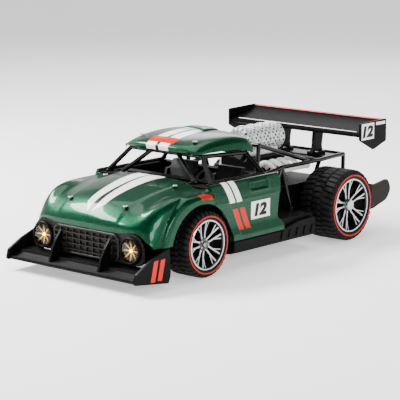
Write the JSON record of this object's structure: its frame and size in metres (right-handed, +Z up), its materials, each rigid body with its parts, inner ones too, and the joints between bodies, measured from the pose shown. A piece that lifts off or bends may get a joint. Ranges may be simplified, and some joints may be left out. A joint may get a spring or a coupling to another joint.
{
  "type": "remote control car",
  "caption": "Toy race car with coupe shell, steered front wheels, geared driven rear axle, roll cage, open rear frame with engine, and a tall rear wing.",
  "frame": {"origin": "on the ground, under the middle of the car's length and width", "axes": "-Y is the direction the car faces, +X is its left side, +Z is up"},
  "size_m": [0.1046, 0.236, 0.0749],
  "materials": {
    "satin_black": "satin moulded plastic",
    "green_flake": "metallic flake paint under clear gloss",
    "cage_black": "gloss black enamel",
    "rubber": "matt",
    "rim_silver": "vacuum plated and black in the recesses",
    "steel": "zinc plated",
    "nylon": "natural nylon",
    "grille_brown": "satin",
    "lens": "clear",
    "led": "clear resin",
    "silver_plastic": "silver lacquer",
    "header_white": "pearl white lacquer",
    "board_green": "solder resist",
    "cell_blue": "shrink sleeve",
    "bronze": "sintered bronze",
    "cabin_dark": "matt"
  },
  "bodies": {
    "chassis": {"chassis_tub": "satin_black", "battery_cover": "satin_black", "battery_cell": "cell_blue", "battery_contacts": "steel", "circuit_board": "board_green", "chassis_screws": "steel", "switch_housing": "satin_black", "front_splitter": "satin_black", "front_grille": "grille_brown", "headlight_bezels": "satin_black", "headlight_lenses": "lens", "headlight_leds": "led", "front_axle_carrier": "satin_black", "front_upper_plate": "satin_black", "kingpins": "steel", "steering_servo": "satin_black", "gearbox_lower": "satin_black", "gearbox_upper": "satin_black", "drive_motor": "steel", "gear_shaft": "steel", "axle_bushes": "bronze", "body_front": "green_flake", "left_door": "green_flake", "right_door": "green_flake", "roof_panel": "green_flake", "body_screws": "cage_black", "roll_cage": "cage_black", "cockpit_tub": "cabin_dark", "seats": "cabin_dark", "dashboard": "cabin_dark", "steering_wheel": "cabin_dark", "rear_frame": "cage_black", "engine_block": "cabin_dark", "engine_blower": "silver_plastic", "exhaust_headers": "header_white", "wing_struts": "satin_black", "wing_plane": "satin_black", "wing_endplates": "satin_black", "rear_bumper": "grille_brown", "deck_cover": "satin_black"},
    "left_steer": {"left_knuckle": "satin_black"},
    "right_steer": {"right_knuckle": "satin_black"},
    "rack": {"steering_rack": "satin_black"},
    "horn": {"servo_horn": "nylon"},
    "front_left_wheel": {"front_left_tyre": "rubber", "front_left_rim": "rim_silver", "front_left_screw": "steel"},
    "front_right_wheel": {"front_right_tyre": "rubber", "front_right_rim": "rim_silver", "front_right_screw": "steel"},
    "rear_wheels": {"rear_axle": "steel", "axle_gear": "nylon", "rear_left_tyre": "rubber", "rear_left_rim": "rim_silver", "rear_right_tyre": "rubber", "rear_right_rim": "rim_silver", "rear_wheel_nuts": "steel"},
    "compound": {"compound_gear": "nylon"},
    "pinion": {"motor_pinion": "nylon"},
    "power_switch": {"switch_knob": "nylon"}
  },
  "joints": [
    {"name": "steer_left", "type": "hinge", "parent": "chassis", "child": "left_steer", "pos_m": [0.031, -0.0585, 0.01875], "axis": [0, 0, 1], "range_deg": [-14, 14]},
    {"name": "steer_right", "type": "hinge", "parent": "chassis", "child": "right_steer", "pos_m": [-0.031, -0.0585, 0.01875], "axis": [0, 0, 1], "range_deg": [-14, 14]},
    {"name": "rack_slide", "type": "slide", "parent": "chassis", "child": "rack", "axis": [1, 0, 0], "range_m": [-0.0022, 0.0022]},
    {"name": "horn_turn", "type": "hinge", "parent": "chassis", "child": "horn", "pos_m": [0, -0.0405, 0.016], "axis": [0, 0, 1], "range_deg": [-14, 14]},
    {"name": "front_left_spin", "type": "hinge", "parent": "left_steer", "child": "front_left_wheel", "pos_m": [0.04, -0.0585, 0.01875], "axis": [1, 0, 0], "continuous": true},
    {"name": "front_right_spin", "type": "hinge", "parent": "right_steer", "child": "front_right_wheel", "pos_m": [-0.04, -0.0585, 0.01875], "axis": [1, 0, 0], "continuous": true},
    {"name": "rear_axle_spin", "type": "hinge", "parent": "chassis", "child": "rear_wheels", "pos_m": [0, 0.074, 0.02175], "axis": [1, 0, 0], "continuous": true},
    {"name": "compound_spin", "type": "hinge", "parent": "chassis", "child": "compound", "pos_m": [0, 0.0604, 0.02175], "axis": [1, 0, 0], "continuous": true},
    {"name": "pinion_spin", "type": "hinge", "parent": "chassis", "child": "pinion", "pos_m": [0, 0.0468, 0.02175], "axis": [1, 0, 0], "continuous": true},
    {"name": "switch_slide", "type": "slide", "parent": "chassis", "child": "power_switch", "axis": [1, 0, 0], "range_m": [0, 0.003]}
  ],
  "couplings": [
    {"joint": "steer_right", "follows": "steer_left", "ratio": 1},
    {"joint": "rack_slide", "follows": "steer_left", "m_per_rad": -0.009},
    {"joint": "horn_turn", "follows": "steer_left", "ratio": -1},
    {"joint": "compound_spin", "follows": "rear_axle_spin", "ratio": -2.4},
    {"joint": "pinion_spin", "follows": "rear_axle_spin", "ratio": 5.76}
  ]
}
